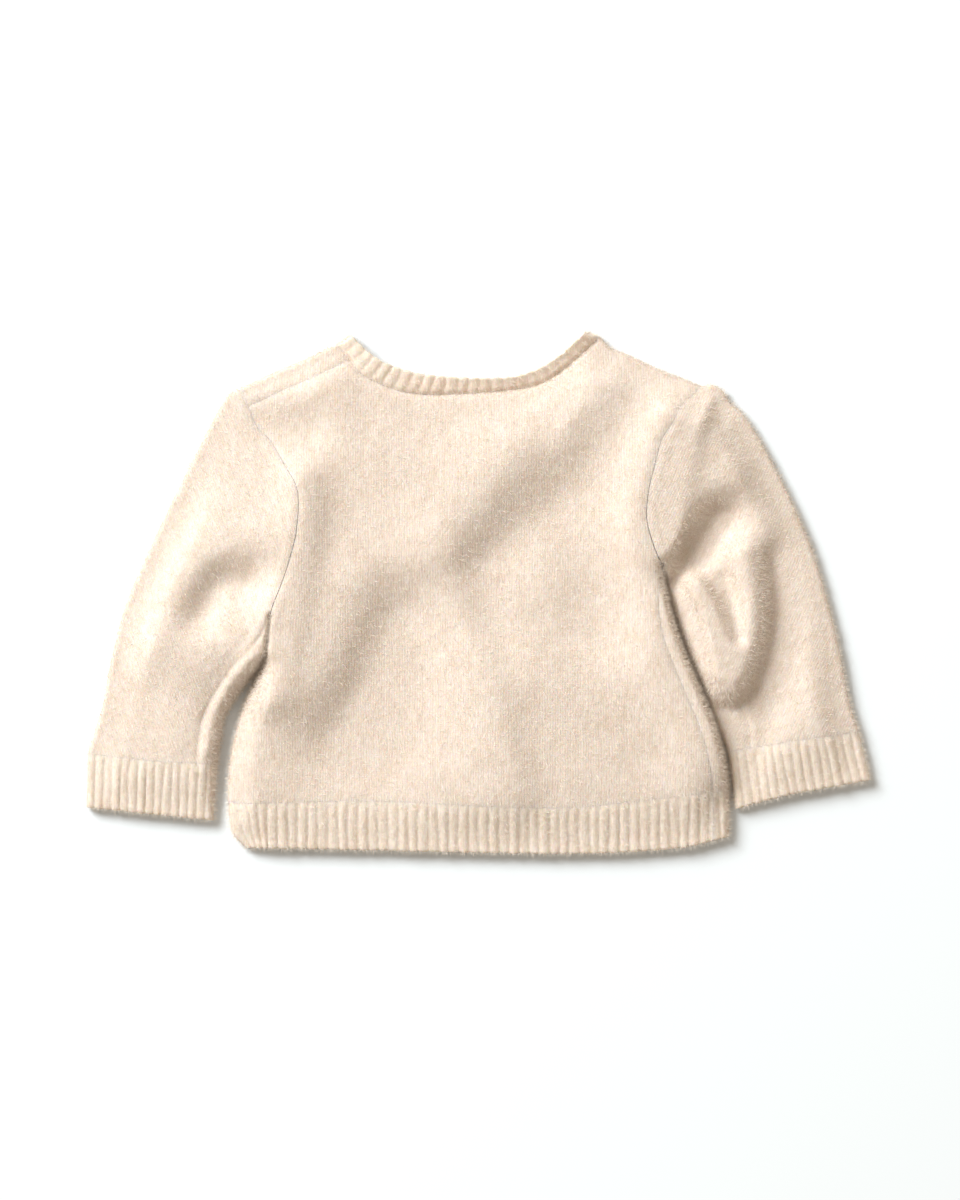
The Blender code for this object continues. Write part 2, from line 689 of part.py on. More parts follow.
band(
    "hem_rib_back",
    [(left_seam - gap, -1)] + list(reversed(under)) + [(0.0, 0)] + over
    + rib_columns(HEM_RIBS, over[-1][0], right_seam - gap) + [(right_seam - gap, 1)],
    hem_lines, hem_lines, hem_near, hem_far, HEM_RIBS, closed=False,
)
band(
    "hem_rib_front",
    [(left_seam + gap, -1)] + plain_columns(hem_length, left_seam + gap, 1 - under[-1][0])
    + from_far_end(under) + [(1.0, 0)] + from_far_end(over)[::-1]
    + rib_columns(HEM_RIBS, right_seam + gap, 1 - over[-1][0])[::-1] + [(right_seam + gap, 1)],
    hem_lines, hem_lines, hem_near, hem_far, HEM_RIBS, closed=False,
)

# Cuffs
for name, line, edge, outer_edge, inner_edge, at_outer, at_inner, turn in (
    ("cuff_left", "left_cuff_line", "left_cuff_edge", "left_outer", "left_inner",
     left_cuff_at_outer, left_cuff_at_inner, 1),
    ("cuff_right", "right_cuff_line", "right_cuff_edge", "right_outer", "right_inner",
     right_cuff_at_outer, right_cuff_at_inner, -1),
):
    lines = (curves[line], curves[edge])
    near_edge = stretch(curves[outer_edge], at_outer)
    far_edge = stretch(curves[inner_edge], at_inner)
    length = lengths_along(lines[0])[-1]
    band(
        name, ring_columns(length, length, CUFF_RIBS), lines, lines,
        (near_edge, turn), (far_edge, -turn),
        CUFF_RIBS, closed=True,
    )

# Neckband
left_band_edge = backwards(stretch(left_top, 0, meeting(left_top, left_neck_point)))
right_band_edge = stretch(right_top, meeting(right_top, right_neck_point))
back_lines = (curves["back_neck_seam"], curves["back_neck_edge"])
front_lines = (curves["front_neck_seam"], curves["front_neck_edge"])
band(
    "neckband",
    ring_columns(lengths_along(back_lines[0])[-1], lengths_along(front_lines[0])[-1], NECK_RIBS),
    back_lines, front_lines,
    (left_band_edge, -1), (right_band_edge, 1),
    NECK_RIBS, closed=True,
)
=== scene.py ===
"""Looks of a baby sweater in felted cream wool, laid flat with its back up."""

import math

import bmesh
import bpy
import numpy as np
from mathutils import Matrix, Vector, kdtree, noise


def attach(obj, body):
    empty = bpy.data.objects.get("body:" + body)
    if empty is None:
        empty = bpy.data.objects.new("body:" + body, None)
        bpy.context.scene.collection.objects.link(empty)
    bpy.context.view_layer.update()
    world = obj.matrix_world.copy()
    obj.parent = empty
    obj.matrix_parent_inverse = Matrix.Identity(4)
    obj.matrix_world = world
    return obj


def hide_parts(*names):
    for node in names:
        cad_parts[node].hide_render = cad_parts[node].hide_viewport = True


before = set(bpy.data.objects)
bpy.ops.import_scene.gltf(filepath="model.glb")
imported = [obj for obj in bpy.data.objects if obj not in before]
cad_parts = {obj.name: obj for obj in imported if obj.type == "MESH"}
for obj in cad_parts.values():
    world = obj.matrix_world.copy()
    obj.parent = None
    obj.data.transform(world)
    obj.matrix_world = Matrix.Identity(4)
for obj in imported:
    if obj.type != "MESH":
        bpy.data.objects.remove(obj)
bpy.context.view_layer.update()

# ---------------------------------------------------------------- studio
# The sweater lies on a seamless white table. The camera looks straight down from 1.5 m, one
# large soft light stands at the upper left, and the pale room all round fills the shadows.

camera_data = bpy.data.cameras.new("camera")
camera_data.lens = 85
camera_data.sensor_width = 36
camera_data.clip_start = 0.05
camera = bpy.data.objects.new("camera", camera_data)
camera.location = (0.0008, -0.004, 1.506)
bpy.context.scene.collection.objects.link(camera)
bpy.context.scene.camera = camera
bpy.context.scene.view_settings.view_transform = "Standard"
bpy.context.scene.view_settings.gamma = 0.86

room = bpy.data.worlds.new("white_room")
room.use_nodes = True
room.node_tree.nodes["Background"].inputs["Color"].default_value = (1.0, 0.90, 0.77, 1)
room.node_tree.nodes["Background"].inputs["Strength"].default_value = 0.46
bpy.context.scene.world = room


def soft_light(name, place, width, power, colour):
    """A square area light aimed at the middle of the table."""
    data = bpy.data.lights.new(name, "AREA")
    data.size = width
    data.energy = power
    data.color = colour
    light = bpy.data.objects.new(name, data)
    light.location = place
    light.rotation_euler = (-Vector(place)).to_track_quat("-Z", "Y").to_euler()
    bpy.context.scene.collection.objects.link(light)


soft_light("window", (-3.7, 3.4, 3.25), 2.7, 500, (0.96, 0.985, 1.0))

TABLE_REACH = 3.0  # from its middle to each side, in metres
TABLE_GAP = 0.0002  # the garment's underside lies this far above it

table_shape = bmesh.new()
bmesh.ops.create_grid(table_shape, x_segments=1, y_segments=1, size=TABLE_REACH)
bmesh.ops.translate(table_shape, verts=table_shape.verts, vec=(0, 0, -TABLE_GAP))
table_mesh = bpy.data.meshes.new("table")
table_shape.to_mesh(table_mesh)
table_shape.free()
table = bpy.data.objects.new("table", table_mesh)
bpy.context.scene.collection.objects.link(table)
table_paint = bpy.data.materials.new("white_paint")
table_paint.use_nodes = True
paint_shader = table_paint.node_tree.nodes["Principled BSDF"]
paint_shader.inputs["Base Color"].default_value = (0.91, 0.96, 1, 1)
paint_shader.inputs["Roughness"].default_value = 1.0
paint_shader.inputs["Specular IOR Level"].default_value = 0.0
table_mesh.materials.append(table_paint)

# ---------------------------------------------------------------- back panel
# The back of the body is one shaped panel of fine stocking stitch in lambswool, felted until it
# is 2 mm thick and furry. It runs from hem to shoulders, and at the left it goes on round the
# edge to a seam underneath. It lies on the front in long soft folds left by the hand.

MM = 0.001
WALL = 1.8  # the knit, a little less than its nap
HALF = 2.4  # half of two layers, and so the radius of a folded edge
RIM_ANGLE = math.radians(55)  # edges sharper than this are shaded as edges
STEP = 1.7  # spacing of points where the cloth shows
PLAIN_STEP = 3.4  # and on the underside
ROLL_STEP = 1.2  # and where it rolls over an edge
FOLD_STEP = 3.0  # spacing of points along a fold's line
# a folded edge's half circle, read at these angles
FOLD_TURN = HALF * (1 - np.cos(np.radians([0, 15, 32, 50, 70])))

# Outlines in plan, in millimetres. The right sleeve's inner edge is drawn up to the body.
OUTLINES = {
    "left_top": [(-68, 137), (-75.5, 132), (-94, 123), (-107, 117.5), (-121, 111), (-126, 109)],
    "left_outer": [(-126, 109), (-132.5, 105), (-141, 91.5), (-149, 75.5), (-163, 47.5),
                   (-179.5, 12), (-188, -9), (-195, -36), (-199.5, -60), (-205, -78),
                   (-207, -85.5), (-208, -114)],
    "left_inner": [(-110.1, -12.5), (-113.2, -33), (-117.5, -41.5), (-126, -52), (-134.5, -66),
                   (-137, -79), (-138.5, -91), (-140.7, -121)],
    "left_side": [(-109.4, -12.5), (-112, -33), (-118, -45.5), (-125.5, -63), (-131, -84),
                  (-132.8, -101), (-132.8, -111), (-130.8, -127), (-123, -135.5)],
    "right_top": [(57, 138.5), (64.5, 135.5), (70, 130), (80, 126), (93.5, 119.5),
                  (111.5, 112.5), (118, 109.5)],
    "right_outer": [(118, 109.5), (124.5, 110), (129.5, 107), (133, 101), (141, 93.5),
                    (153.5, 73), (167.5, 45), (177, 22.5), (185, -4), (191.5, -30.5),
                    (196.5, -57), (201.7, -74), (208, -99.5)],
    "right_inner": [(97.2, 14), (103.8, -11.5), (110.7, -31.5), (118.8, -51), (127.2, -71.8),
                    (132, -84.5), (134.2, -99), (136.5, -114.8)],
    "right_side": [(96.6, 14), (103.3, -12.5), (110, -32), (118, -51), (126.5, -72),
                   (131.5, -92), (132.8, -105), (132.8, -129.5)],
    "left_armhole": [(-126, 109), (-122.7, 101), (-117.5, 88), (-110.5, 81), (-102.5, 67.5),
                     (-95.3, 53.5), (-95.7, 33), (-99.5, 17), (-103.5, 5), (-108, -6.5),
                     (-109.75, -12.5)],
    "right_armhole": [(118, 109.5), (112, 103), (107, 99), (102, 89), (96.5, 80.5), (92.5, 66),
                      (89.5, 53.5), (88.5, 38.5), (92.5, 23.5), (96.95, 14)],
    "back_neck_seam": [(-75.5, 132), (-68, 122.5), (-62, 115.5), (-50, 109.5), (-38, 105.7),
                       (-20, 104.7), (8, 106.3), (30, 109.4), (44, 117), (55, 126.5),
                       (64.5, 135.5)],
    "hem_edge": [(-123, -135.5), (-100, -135.8), (1, -138), (43, -138.5), (69, -138),
                 (107, -135.5), (132.8, -129.5)],
    "left_cuff_edge": [(-208, -114), (-174, -117.5), (-140.7, -121)],
    "right_cuff_edge": [(208, -99.5), (180, -104.5), (162, -108), (136.5, -114.8)],
    "back_neck_edge": [(-68, 137), (-58, 127), (-47, 120.5), (-29, 115.5), (-7, 113.7),
                       (16, 114), (30.5, 118), (43, 125.5), (51, 133), (57, 138.5)],
    "hem_line": [(-132.8, -111), (-119, -111.7), (-58, -110.5), (1, -113), (43, -114),
                 (75, -111.5), (119, -106), (132.8, -105)],
}

SHOULDER_ROLL = 11.0  # the front rolls this far over the left shoulder
SIDE_ROLL_RIGHT = 9.0  # the front wraps this far round the right side, on top
SIDE_ROLL_LEFT = 8.0  # the back wraps this far round the left side, underneath
SIDE_ROLL_RUN = 42.0  # the side seams leave the edge over this length below the armpit
RIGHT_UNDERARM_SHOWS = 70.0  # the right underarm seam shows from here on; above, folds hide it

# Folds of the upper layer: a soft ridge (height over 0) or trough (under 0) along a
# line, with its half widths to the left and to the right of the line's own direction.
FOLDS = [
    # the line, width to its left, width to its right, height
    # body
    ([(-93, 58), (-92, 42), (-99, 4), (-108, -30), (-112, -52)], 12, 12, 5.0),  # left flank
    ([(-62, 0), (-74, -22), (-88, -50)], 19, 28, 4.2),  # swell above the left hollow
    ([(-42, -16), (-50, -46), (-66, -76)], 38, 27, -6.2),  # floor of the left hollow
    ([(50, 122), (27, 88), (4, 57), (-10, 37)], 17, 26, 2.8),  # ridge from the right neck point
    ([(14, 66), (-8, 42), (-26, 22)], 15, 22, 1.0),  # the same, dying out
    ([(54, 132), (60, 108), (50, 86)], 36, 10, 2.8),  # broad fall to the right shoulder
    ([(88, 102), (62, 74), (38, 45), (10, 20)], 18, 16, -2.6),  # hollow along its lower side
    ([(-18, 14), (-10, -16), (2, -44), (13, -78), (18, -104)], 12, 28, 3.2),  # middle, to the hem
    ([(112, 98), (102, 68), (98, 36), (99, 6), (108, -28), (120, -68), (127, -94)],
     10, 23, 7.4),  # right side
    ([(58, 44), (60, 16), (62, -18)], 20, 22, -2.0),  # low along its inner side
    ([(28, -44), (70, -48), (106, -40)], 22, 30, 2.2),  # swell above the hem
    ([(-114, 93), (-102, 89), (-92, 86)], 13, 13, -2.6),  # dip at the left shoulder's corner
    ([(-56, 96), (-20, 90), (16, 92)], 12, 14, -1.2),  # below the neckband
    # left sleeve
    ([(-172, -28), (-157, 4), (-139, 23), (-112, 28)], 22, 12, 3.7),  # arch over the elbow
    ([(-146, -12), (-137, 4), (-124, 5)], 9, 9, -3.0),  # dent below it
    ([(-152, -36), (-136, -27), (-120, -22)], 18, 20, 3.4),  # rise below the dent
    ([(-114, -26), (-133, -52), (-143, -84)], 4.5, 4.5, 1.4),  # roll beside the underarm seam
    ([(-120, -26), (-140, -54), (-151, -86)], 5, 5, -1.0),  # valley on the seam's other side
    ([(-130, 84), (-152, 50), (-170, 10), (-182, -30), (-190, -76)], 24, 26, -2.6),  # outer side
    # right sleeve
    ([(120, 108), (107, 97), (100, 84)], 22, 9, 1.6),  # the cap's seam allowance
    ([(98, 34), (113, 50), (131, 60)], 26, 13, 3.4),  # brow over the pit
    ([(102, 13), (109, 17), (117, 24), (125, 33), (128, 39)], 10, 12, -7.0),  # the pit
    ([(101, 4), (105, -10), (112, -32), (120, -52), (128, -70), (134, -88), (137, -108)],
     7.5, 1.8, -7.6),  # beside the body
    ([(115, 4), (122, -10), (127, -26), (130, -40)], 5.6, 6.0, 7.0),  # first lobe
    ([(131, 8), (136, -8), (138, -24)], 4.5, 4.5, -2.6),  # crease between the lobes
    ([(140, 20), (143, 8), (144, -8), (141, -28), (134, -50)], 11, 10, 5.2),  # second lobe
    ([(159, 14), (161, -6), (158, -30), (150, -52), (140, -70)], 18, 10, -6.8),  # valley
    ([(134, -64), (140, -82), (143, -102)], 12, 12, -4.0),  # low above the cuff
]
BASE_LIFT = 4.6  # how far the upper layer stands off before ridges and troughs
MOST_LIFT = 10.0
LIFT_EASE = 0.7  # how softly the lift meets these limits
LIFT_RUN_IN = 14.0  # a fold fades out over this distance from a folded edge
RUN_INS = [
    # edges along which it fades over another distance, that distance, and how far this reaches
    (("left_outer", "right_outer"), 26.0, 30.0),
    (("left_top", "right_top"), 24.0, 24.0),
    (("left_inner",), 4.5, 10.0),
    (("right_side",), 3.0, 12.0),
]
ARMPITS = [
    # where a sleeve still lies against the body: the spot, how much less it dips, its reach
    (np.array([-110.5, -16.0]), 12.0, 14.0),
    (np.array([97.0, 15.0]), 4.0, 5.0),
]
LIES_FLAT = 0.86  # share of the lift that is gone at hem, cuffs and neck edge
FREE_RUN_IN = 20.0  # and how far from them that reaches
BUMPS = ((34.0, 0.45), (13.0, 0.22), (5.0, 0.09))  # uneven lie of soft cloth: size, height
SEAM_DIP_WIDTH = 1.1  # a seam pulls the surface in over this half width
SEAM_WELT_AT = 3.4  # and the seam allowance below pushes it up this far beside the seam
SEAM_WELT_WIDTH = 1.9


def smooth_curve(points, step=1.0):
    """A Catmull-Rom curve through the points, read every step or so."""
    points = np.array(points, float)
    ends = np.vstack([2 * points[0] - points[1], points, 2 * points[-1] - points[-2]])
    out = []
    for i in range(len(points) - 1):
        p0, p1, p2, p3 = ends[i : i + 4]
        count = max(2, round(np.linalg.norm(p2 - p1) / step))
        for t in np.arange(count) / count:
            out.append(
                0.5 * (2 * p1 + (p2 - p0) * t + (2 * p0 - 5 * p1 + 4 * p2 - p3) * t**2
                       + (3 * p1 - p0 - 3 * p2 + p3) * t**3)
            )
    out.append(points[-1])
    return np.array(out)


def lengths_along(curve):
    """The length from the curve's start to each of its points."""
    return np.r_[0, np.cumsum(np.linalg.norm(np.diff(curve, axis=0), axis=1))]


def at_length(curve, length):
    """The point at a length along a curve."""
    along = lengths_along(curve)
    return np.array([np.interp(length, along, curve[:, k]) for k in (0, 1)])


def stretch(curve, start=0.0, end=None):
    """The part of a curve between two lengths along it."""
    along = lengths_along(curve)
    end = along[-1] if end is None else end
    inner = curve[(along > start + 0.01) & (along < end - 0.01)]
    return np.vstack([at_length(curve, start), inner, at_length(curve, end)])


def shifted(curve, distance):
    """The curve moved to its left by a distance, or by one distance for each of its points."""
    run = np.gradient(curve, axis=0)
    run /= np.linalg.norm(run, axis=1, keepdims=True)
    return curve + np.stack([-run[:, 1], run[:, 0]], axis=1) * np.reshape(distance, (-1, 1))


def meeting(curve, point):
    """The length along a curve at which it comes nearest to a point."""
    return lengths_along(curve)[np.argmin(np.linalg.norm(curve - np.array(point), axis=1))]


def roll(curve, width):
    """A seam that leaves a folded edge at its start and then runs beside it at a width."""
    opening = np.clip(lengths_along(curve) / SIDE_ROLL_RUN, 0, 1)
    return shifted(curve, width * (1 - (1 - opening) ** 2))


def nearest_on(lines):
    """A function that says how far each plan point lies from the nearest of some curves, and
    to which side of it: 1 is square to its left, -1 square to its right."""
    starts = np.vstack([line[:-1] for line in lines])
    ends = np.vstack([line[1:] for line in lines])
    tree = kdtree.KDTree(2 * len(starts))
    for i, (a, b) in enumerate(zip(starts, ends)):
        tree.insert((a[0], a[1], 0), i)
        tree.insert((*(a + b) / 2, 0), i)
    tree.balance()

    def distance(points, with_side=False):
        found = np.array([[hit[1] for hit in tree.find_n((x, y, 0), 3)] for x, y in points])
        best = np.full(len(points), np.inf)
        side = np.zeros(len(points))
        for k in range(found.shape[1]):
            a, run = starts[found[:, k]], ends[found[:, k]] - starts[found[:, k]]
            part = np.clip(((points - a) * run).sum(1) / (run * run).sum(1), 0, 1)
            away = points - a - part[:, None] * run
            far = np.linalg.norm(away, axis=1)
            square = run[:, 0] * away[:, 1] - run[:, 1] * away[:, 0]
            square /= np.linalg.norm(run, axis=1) * np.maximum(far, 1e-6)
            nearer = far < best
            best[nearer], side[nearer] = far[nearer], square[nearer]
        return (best, side) if with_side else best

    return distance


curves = {name: smooth_curve(points) for name, points in OUTLINES.items()}
left_neck_point = OUTLINES["back_neck_seam"][0]
right_neck_point = OUTLINES["back_neck_seam"][-1]
left_shoulder = stretch(curves["left_top"], meeting(curves["left_top"], left_neck_point))
right_shoulder = stretch(curves["right_top"], meeting(curves["right_top"], right_neck_point))
shoulder_seam = shifted(left_shoulder, SHOULDER_ROLL)
roll_on_neck = meeting(curves["back_neck_seam"], shoulder_seam[0])
roll_on_armhole = meeting(curves["left_armhole"], shoulder_seam[-1])
shoulder_seam[0] = at_length(curves["back_neck_seam"], roll_on_neck)
shoulder_seam[-1] = at_length(curves["left_armhole"], roll_on_armhole)

left_side = stretch(curves["left_side"], 0, meeting(curves["left_side"], OUTLINES["hem_line"][0]))
right_side = stretch(curves["right_side"], 0,
                     meeting(curves["right_side"], OUTLINES["hem_line"][-1]))
left_side_seam = roll(left_side, SIDE_ROLL_LEFT)
right_side_seam = roll(right_side, -SIDE_ROLL_RIGHT)
left_seam_on_hem = meeting(curves["hem_line"], left_side_seam[-1])
right_seam_on_hem = meeting(curves["hem_line"], right_side_seam[-1])
left_side_seam[-1] = at_length(curves["hem_line"], left_seam_on_hem)
right_side_seam[-1] = at_length(curves["hem_line"], right_seam_on_hem)
left_underarm_seam = smooth_curve([(-110.1, -12.5), (-115.5, -24), (-132.8, -44), (-144.4, -63.5),
                                   (-147.6, -78.2), (-149.2, -91.8)])
right_underarm_seam = smooth_curve([(97.3, 14), (107, -8), (117.5, -29), (130.5, -49),
                                    (142.3, -67.6), (144, -81.8)])

edge_gap = nearest_on([curves[name] for name in (
    "left_top", "left_outer", "left_inner", "left_side",
    "right_top", "right_outer", "right_inner", "right_side")])
SEAMS_ON_TOP = [
    # line, how far it dips, how far it is pushed up beside
    (nearest_on([curves["left_armhole"], curves["right_armhole"]]), 0.11, 0.20),
    (nearest_on([shoulder_seam, right_side_seam]), 0.30, 0.12),
    (nearest_on([left_underarm_seam, stretch(right_underarm_seam, RIGHT_UNDERARM_SHOWS)]), 0.45, 0.20),
    (nearest_on([curves["back_neck_seam"]]), 1.00, 0.0),
]
fold_lines = [nearest_on([smooth_curve(row[0], FOLD_STEP)]) for row in FOLDS]
run_in_gaps = [nearest_on([curves[name] for name in row[0]]) for row in RUN_INS]
free_edge_gap = nearest_on([curves[name] for name in (
    "hem_edge", "left_cuff_edge", "right_cuff_edge", "back_neck_edge")])


def lumps(points, layer):
    """The uneven lie of soft cloth, a sum of smooth noises of a few sizes."""
    total = np.zeros(len(points))
    for size, height in BUMPS:
        total += height * np.array([
            noise.noise(Vector((x / size, y / size, 7.3 * layer + size))) for x, y in points])
    return total


def lift_of(points, distance):
    """How far folds raise the upper layer at each point."""
    lift = np.full(len(points), BASE_LIFT)
    for gap, (_, left, right, height) in zip(fold_lines, FOLDS):
        far, side = gap(points, with_side=True)
        width = (left + right) / 2 + (left - right) / 2 * side
        lift += height * np.exp(-((far / width) ** 2))
    lift = LIFT_EASE * np.logaddexp(0, (lift + lumps(points, 1)) / LIFT_EASE)
    lift = MOST_LIFT - LIFT_EASE * np.logaddexp(0, (MOST_LIFT - lift) / LIFT_EASE)
    for spot, more, reach in ARMPITS:
        off = np.linalg.norm(points[:, :2] - spot, axis=1)
        distance = distance + more * np.exp(-((off / reach) ** 2))
    run_in = np.full(len(points), LIFT_RUN_IN)
    for gap, (_, over, reach) in zip(run_in_gaps, RUN_INS):
        run_in += (over - run_in) * np.exp(-((gap(points) / reach) ** 2))
    fade = np.clip(distance / run_in, 0, 1)
    lift *= fade * fade * (3 - 2 * fade)
    return lift * (1 - LIES_FLAT * np.exp(-((free_edge_gap(points) / FREE_RUN_IN) ** 2)))


def laid(points, side, raised=0.0):
    """The outer surface over each plan point: side is 1 on the upper layer, -1 on the lower
    one and 0 on the folded edge between them. raised adds to the cloth's thickness there."""
    distance = edge_gap(points)
    distance[side == 0] = 0
    cosine = np.clip(1 - distance / HALF, 0, 1)
    rise = HALF * np.sqrt(1 - cosine**2)
    sewn = np.zeros(len(points))
    for gap, dip, welt in SEAMS_ON_TOP:
        seam = gap(points)
        sewn += welt * np.exp(-(((seam - SEAM_WELT_AT) / SEAM_WELT_WIDTH) ** 2))
        sewn -= dip * np.exp(-((seam / SEAM_DIP_WIDTH) ** 2))
    settled = np.clip(distance / HALF, 0, 1)
    height = HALF + side * rise + (lift_of(points, distance) + sewn * settled) * (side > 0)
    height += side * raised * settled
    return np.column_stack([points, np.maximum(height, 0)])


def shares(length, step, near_fold=False, far_fold=False, marks=()):
    """Shares of the way across a panel, closer together where it turns over a folded edge."""
    start = FOLD_TURN if near_fold else np.array([0.0])
    end = length - FOLD_TURN[::-1] if far_fold else np.array([length])
    low = HALF if near_fold else step
    high = length - (HALF if far_fold else step)
    places = np.r_[start, np.linspace(low, high, max(2, round((high - low) / step)) + 1), end]
    found = places / length
    for mark in marks:
        found[np.argmin(abs(found - mark))] = mark
    return found


def border(points_at, *parts):
    """A panel's border read at shares of the way along; each part is (curve, share at its end)."""
    read = np.empty((len(points_at), 2))
    start = 0.0
    for curve, end in parts:
        here = (points_at >= start - 1e-9) & (points_at <= end + 1e-9)
        along = lengths_along(curve) / lengths_along(curve)[-1]
        part = (points_at[here] - start) / (end - start)
        read[here] = np.column_stack([np.interp(part, along, curve[:, k]) for k in (0, 1)])
        start = end
    return read


def stretched_between(bottom, top, left, right, u, v, pull=1.0):
    """Plan points of a panel between its four borders, as rows from bottom to top.

    Straight columns join bottom to top, and each side border bends those as near as pull, a
    share of the width."""
    u, v = u[None, :, None], v[:, None, None]
    columns = (1 - v) * bottom[None] + v * top[None]
    near_left = np.clip(1 - u / pull, 0, 1) ** (1 / pull)
    near_right = np.clip(1 - (1 - u) / pull, 0, 1) ** (1 / pull)
    return (columns + near_left * (left[:, None] - columns[:, :1])
            + near_right * (right[:, None] - columns[:, -1:]))


def add_patch(shape, points):
    """Adds a grid to the mesh and moves its points to the rows of 3-D points given."""
    rows, columns = points.shape[:2]
    made = bmesh.ops.create_grid(shape, x_segments=columns - 1, y_segments=rows - 1, size=1)
    verts = made["verts"]
    for vert in verts:
        column = round((vert.co.x + 1) / 2 * (columns - 1))
        row = round((vert.co.y + 1) / 2 * (rows - 1))
        vert.co = Vector(points[row, column]) * MM
    return verts


def lay_patch(shape, plan, side, raised=0.0):
    """Lays one patch of a panel on the table, its faces pointing out of the garment."""
    rows, columns = plan.shape[:2]
    side = np.broadcast_to(side, (rows, columns)).ravel()
    raised = np.broadcast_to(raised, (rows, columns)).ravel()
    verts = add_patch(shape, laid(plan.reshape(-1, 2), side, raised).reshape(rows, columns, 3))
    faces = list({face for vert in verts for face in vert.link_faces})
    for face in faces:
        face.normal_update()
    upward = sum(face.normal.z * face.calc_area() for face in faces) > 0
    if upward != (side.sum() > 0):
        bmesh.ops.reverse_faces(shape, faces=faces)
    return verts


outer_surfaces = {}  # each piece's outer surface, for the nap that stands on it


def made_piece(name, shape, material):
    """Turns the laid surface into a piece with the thickness of the knit."""
    bmesh.ops.remove_doubles(shape, verts=shape.verts, dist=0.02 * MM)
    outer_surfaces[name] = bpy.data.meshes.new(name)
    shape.to_mesh(outer_surfaces[name])
    shape.free()
    outer_surfaces[name].shade_smooth()
    made = bpy.data.objects.new(name + "_knit", outer_surfaces[name])
    bpy.context.scene.collection.objects.link(made)
    thickness = made.modifiers.new("knit thickness", "SOLIDIFY")
    thickness.thickness = WALL * MM
    thickness.offset = -1
    bpy.context.view_layer.update()
    whole = made.evaluated_get(bpy.context.evaluated_depsgraph_get())
    made.data = bpy.data.meshes.new_from_object(whole)
    made.modifiers.clear()
    for vert in made.data.vertices:
        vert.co.z = max(vert.co.z, 0)
    made.data.set_sharp_from_angle(angle=RIM_ANGLE)
    made.data.materials.append(material)
    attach(made, "root")
    return made


def wool(name, colour, wale_turn=0.0, wale=1.35, course=1.05, depth=0.24):
    """Felted stocking stitch: faint wales, marl in the yarn with painted shade in the stitch grooves,
    and a soft furry sheen.
    """
    material = bpy.data.materials.new(name)
    material.use_nodes = True
    nodes, links = material.node_tree.nodes, material.node_tree.links
    shader = nodes["Principled BSDF"]
    shader.inputs["Roughness"].default_value = 0.68
    shader.inputs["Specular IOR Level"].default_value = 0.35
    shader.inputs["Sheen Weight"].default_value = 0.45
    shader.inputs["Sheen Roughness"].default_value = 0.5
    shader.inputs["Sheen Tint"].default_value = (1.0, 0.985, 0.96, 1)
    shader.inputs["Subsurface Weight"].default_value = 0.3
    shader.inputs["Subsurface Radius"].default_value = (1.0, 0.55, 0.28)
    shader.inputs["Subsurface Scale"].default_value = 0.0045

    def math_node(operation, a, b=None):
        node = nodes.new("ShaderNodeMath")
        node.operation = operation
        for socket, value in zip(node.inputs, (a, b)):
            if value is None:
                continue
            if isinstance(value, (int, float)):
                socket.default_value = value
            else:
                links.new(value, socket)
        return node.outputs[0]

    def cloud(size, detail, stretch_along=1.0):
        """Smooth noise with features of a size in millimetres."""
        scaling = nodes.new("ShaderNodeMapping")
        scaling.inputs["Scale"].default_value = (1, 1 / stretch_along, 1)
        links.new(turned, scaling.inputs["Vector"])
        node = nodes.new("ShaderNodeTexNoise")
        node.inputs["Scale"].default_value = 1000 / size
        node.inputs["Detail"].default_value = detail
        links.new(scaling.outputs["Vector"], node.inputs["Vector"])
        return node.outputs["Fac"]

    place = nodes.new("ShaderNodeTexCoord").outputs["Object"]
    turning = nodes.new("ShaderNodeMapping")
    turning.inputs["Rotation"].default_value = (0, 0, wale_turn)
    links.new(place, turning.inputs["Vector"])
    turned = turning.outputs["Vector"]
    apart = nodes.new("ShaderNodeSeparateXYZ")
    links.new(turned, apart.inputs["Vector"])
    # Stitches: each wale is a column of Vs, one V to a course.
    wander = math_node("MULTIPLY", cloud(22, 1), 2.2 * MM)
    across = math_node("DIVIDE", math_node("ADD", apart.outputs["X"], wander), wale * MM)
    leg = math_node("ABSOLUTE", math_node("SINE", math_node("MULTIPLY", across, math.pi)))
    along = math_node("DIVIDE", apart.outputs["Y"], course * MM)
    slanted = math_node("ADD", along, math_node("MULTIPLY", leg, 0.45))
    loop = math_node("SINE", math_node("MULTIPLY", slanted, 2 * math.pi))
    stitch = math_node("ADD", math_node("POWER", leg, 0.7), math_node("MULTIPLY", loop, 0.16))
    felt = cloud(1.5, 4, 1.4)
    height = math_node("ADD", math_node("MULTIPLY", stitch, depth),
                       math_node("MULTIPLY", felt, 0.9))
    bump = nodes.new("ShaderNodeBump")
    bump.inputs["Distance"].default_value = 0.55 * MM
    bump.inputs["Strength"].default_value = 0.55
    links.new(height, bump.inputs["Height"])
    links.new(bump.outputs["Normal"], shader.inputs["Normal"])

    # Marl: lighter and darker flecks of the yarn, longer along the wales, plus painted shade that is
    # darker in the grooves between stitches and lighter on their tops.
    marl = nodes.new("ShaderNodeValToRGB")
    marl.color_ramp.elements[0].position = 0.30
    marl.color_ramp.elements[1].position = 0.72
    for fleck, tint in zip(marl.color_ramp.elements, ((0.90, 0.875, 0.83), (1.06, 1.075, 1.10))):
        fleck.color = (*[min(1, c * f) for c, f in zip(colour, tint)], 1)
    flecks = math_node("ADD", math_node("MULTIPLY", cloud(2.4, 4, 2.2), 0.6),
                       math_node("MULTIPLY", cloud(8, 2, 1.3), 0.4))
    # painted shade: the colour follows the stitches' height, darker in their grooves and lighter on
    # their tops
    painted_stitch_shade = math_node("MULTIPLY", math_node("SUBTRACT", stitch, 0.6), 0.10)
    links.new(math_node("ADD", flecks, painted_stitch_shade), marl.inputs["Fac"])
    links.new(marl.outputs["Color"], shader.inputs["Base Color"])
    return material


CREAM = (0.832, 0.717, 0.642)
body_wool = wool("felted_knit_body", CREAM)

